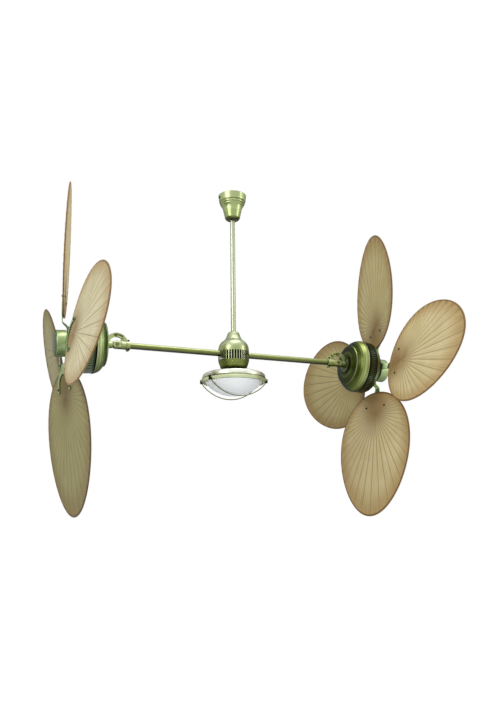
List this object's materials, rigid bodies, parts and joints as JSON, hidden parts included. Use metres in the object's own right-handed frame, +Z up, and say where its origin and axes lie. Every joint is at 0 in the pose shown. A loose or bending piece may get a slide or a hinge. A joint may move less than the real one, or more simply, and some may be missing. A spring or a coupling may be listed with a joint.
{
  "type": "twin head ceiling fan",
  "caption": "Ceiling fan on a down rod with a light under its hub, and two opposite arms that each carry a tilting motor head with pleated palm-leaf blades.",
  "frame": {"origin": "on the ceiling plane, midway between the ceiling bracket's two screw slots", "axes": "+Z up along the down rod, +X along the arms towards the right head, -Y towards the viewer's side"},
  "size_m": [1.5186, 1.3174, 1.3969],
  "materials": {
    "antique_brass": "satin, aged olive brass under lacquer",
    "vent_metal": "satin, aged, darkened in the slots",
    "dark_metal": "satin dark bronze",
    "steel": "zinc plated",
    "stator_core": "varnished laminations and copper windings",
    "rotor_core": "machined laminations with cast end rings",
    "lamp_holder": "glazed white",
    "bulb_glass": "frosted bulb",
    "frosted_glass": "frosted, faintly blue grey",
    "palm_leaf": "dried pleated palm leaf with a bound brown edge"
  },
  "bodies": {
    "root": {"hanger_bracket": "steel", "hanger_ball": "dark_metal", "rod_pins": "steel", "canopy": "antique_brass", "canopy_screws": "antique_brass", "down_rod": "antique_brass", "rod_ferrule": "antique_brass", "upper_cover": "antique_brass", "vent_band": "vent_metal", "lower_cover": "antique_brass", "arm_junction": "steel", "hub_screws": "steel", "left_arm": "antique_brass", "right_arm": "antique_brass", "light_nipple": "steel", "lamp_pan": "antique_brass", "lamp_holders": "lamp_holder", "bulbs": "bulb_glass", "retaining_ring": "antique_brass", "glass_bowl": "frosted_glass", "guard_wires": "antique_brass", "wire_clips": "dark_metal", "knuckle_bolts": "dark_metal", "left_clamp_collar": "antique_brass", "left_fork": "antique_brass", "right_clamp_collar": "antique_brass", "right_fork": "antique_brass"},
    "left_head": {"left_knuckle": "antique_brass", "left_back_shell": "antique_brass", "left_vent_ring": "vent_metal", "left_front_shell": "antique_brass", "left_stator": "stator_core", "left_bearings": "steel"},
    "left_rotor": {"left_shaft": "steel", "left_rotor_core": "rotor_core", "left_flywheel": "dark_metal", "left_blade_irons": "antique_brass", "left_blade_screws": "dark_metal", "left_hub_cap": "antique_brass", "left_blade_1": "palm_leaf", "left_blade_2": "palm_leaf", "left_blade_3": "palm_leaf", "left_blade_4": "palm_leaf"},
    "right_head": {"right_knuckle": "antique_brass", "right_back_shell": "antique_brass", "right_vent_ring": "vent_metal", "right_front_shell": "antique_brass", "right_stator": "stator_core", "right_bearings": "steel"},
    "right_rotor": {"right_shaft": "steel", "right_rotor_core": "rotor_core", "right_flywheel": "dark_metal", "right_blade_irons": "antique_brass", "right_blade_screws": "dark_metal", "right_hub_cap": "antique_brass", "right_blade_1": "palm_leaf", "right_blade_2": "palm_leaf", "right_blade_3": "palm_leaf", "right_blade_4": "palm_leaf"}
  },
  "joints": [
    {"name": "left_tilt", "type": "hinge", "parent": "root", "child": "left_head", "pos_m": [-0.5, 0, -0.726], "axis": [0, -1, 0], "range_deg": [-9.3, 36.7]},
    {"name": "right_tilt", "type": "hinge", "parent": "root", "child": "right_head", "pos_m": [0.5, 0, -0.726], "axis": [0, 1, 0], "range_deg": [-10.7, 35.3]},
    {"name": "left_spin", "type": "hinge", "parent": "left_head", "child": "left_rotor", "pos_m": [-0.5, 0, -0.726], "axis": [-0.9983, 0, -0.0576], "continuous": true},
    {"name": "right_spin", "type": "hinge", "parent": "right_head", "child": "right_rotor", "pos_m": [0.5, 0, -0.726], "axis": [0.9966, 0, -0.0819], "continuous": true}
  ]
}
